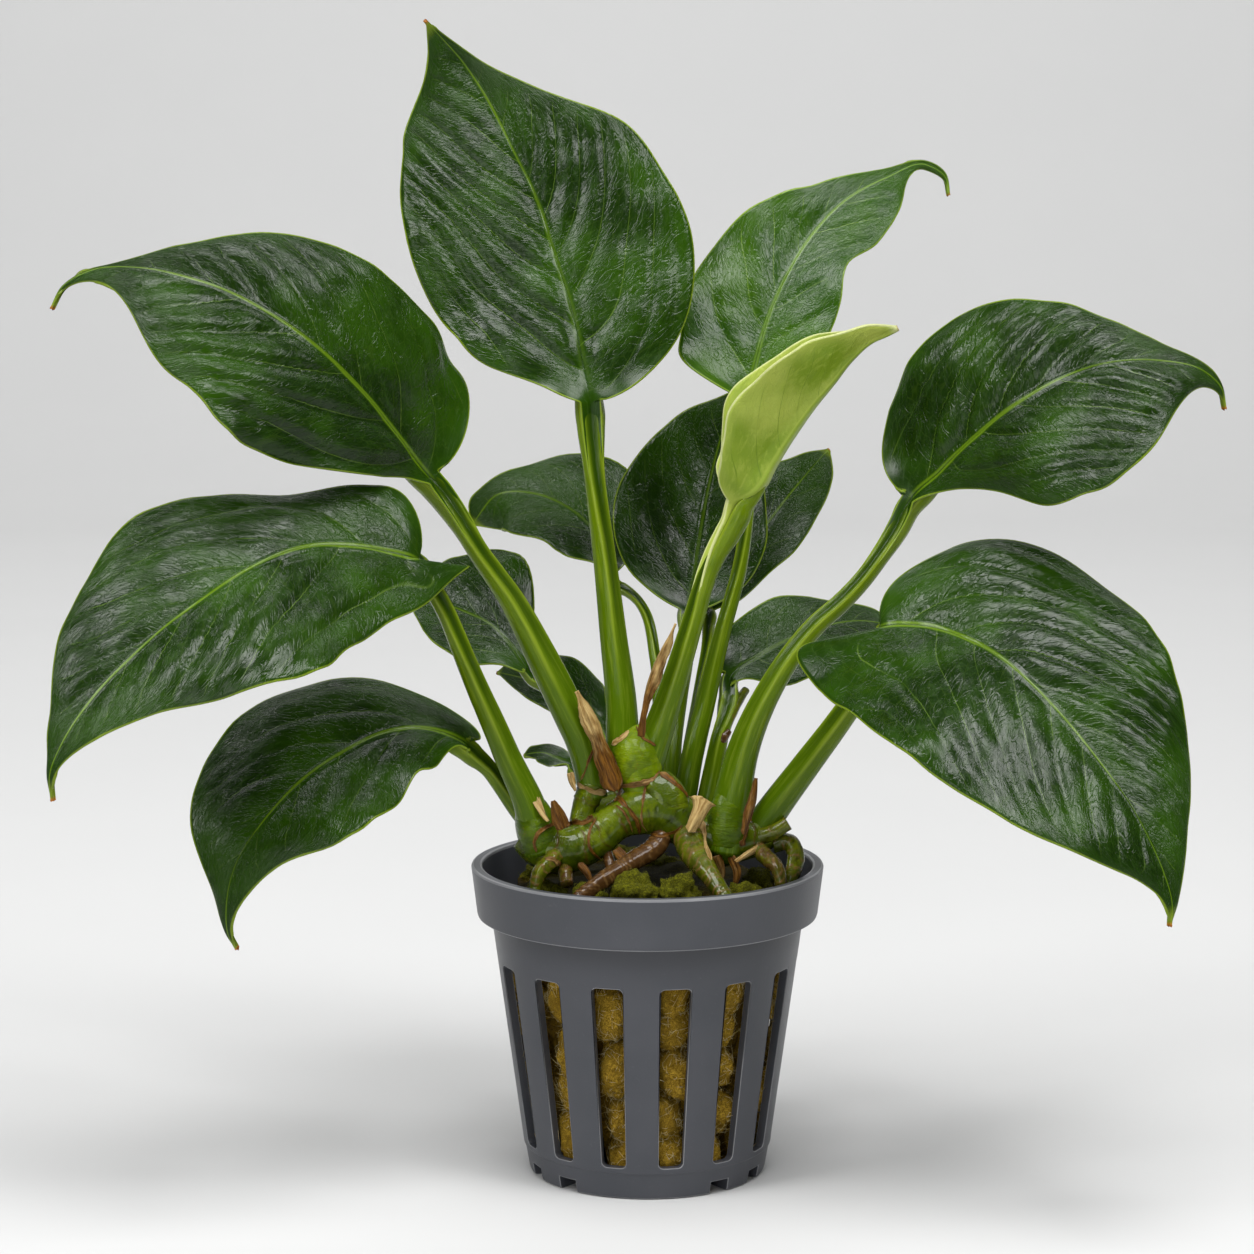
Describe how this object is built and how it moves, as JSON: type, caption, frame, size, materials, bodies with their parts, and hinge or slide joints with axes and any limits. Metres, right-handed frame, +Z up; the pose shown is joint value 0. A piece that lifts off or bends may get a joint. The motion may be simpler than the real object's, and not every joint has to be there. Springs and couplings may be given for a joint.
{
  "type": "potted aquarium plant",
  "caption": "Anubias barteri aquarium plant with glossy heart-shaped leaves on arching stalks, its creeping rhizome rooted in mineral wool in a slotted grey net pot.",
  "frame": {"origin": "middle of the pot's flat underside", "axes": "+Z up, along the pot's axis; -Y towards the plant's front, the side that was pictured; +X to the right seen from the front"},
  "size_m": [0.1586, 0.0932, 0.1632],
  "materials": {
    "pot_plastic": "satin",
    "mineral_wool": "matt, fibrous",
    "rhizome_skin": "glossy, ringed",
    "root_skin": "satin, ringed",
    "blade": "glossy",
    "young_blade": "satin",
    "stalk": "glossy",
    "papery_sheath": "matt, streaked"
  },
  "bodies": {
    "root": {"pot": "pot_plastic", "wool": "mineral_wool", "rhizome": "rhizome_skin", "rhizome_crown": "rhizome_skin", "rhizome_fork": "rhizome_skin", "rhizome_back": "rhizome_skin", "root_left": "root_skin", "root_long": "root_skin", "root_front": "root_skin", "root_right": "root_skin", "root_arch": "root_skin", "leaf_top": "blade", "leaf_upper_left": "blade", "leaf_mid_left": "blade", "leaf_lower_left": "blade", "leaf_upper_right": "blade", "leaf_young": "young_blade", "leaf_right": "blade", "leaf_lower_right": "blade", "leaf_back_centre": "blade", "leaf_back_left": "blade", "leaf_back_right": "blade", "leaf_inner_right": "blade", "leaf_inner_left": "blade", "leaf_small_left": "blade", "leaf_smallest": "blade", "stalk_top": "stalk", "stalk_upper_left": "stalk", "stalk_mid_left": "stalk", "stalk_lower_left": "stalk", "stalk_upper_right": "stalk", "stalk_young": "stalk", "stalk_right": "stalk", "stalk_lower_right": "stalk", "stalk_back_centre": "stalk", "stalk_back_left": "stalk", "stalk_back_right": "stalk", "stalk_inner_right": "stalk", "stalk_inner_left": "stalk", "stalk_small_left": "stalk", "stalk_smallest": "stalk", "sheath_left": "papery_sheath", "sheath_crown": "papery_sheath", "sheath_wrap": "papery_sheath", "sheath_right": "papery_sheath", "sheath_low": "papery_sheath"}
  },
  "joints": []
}
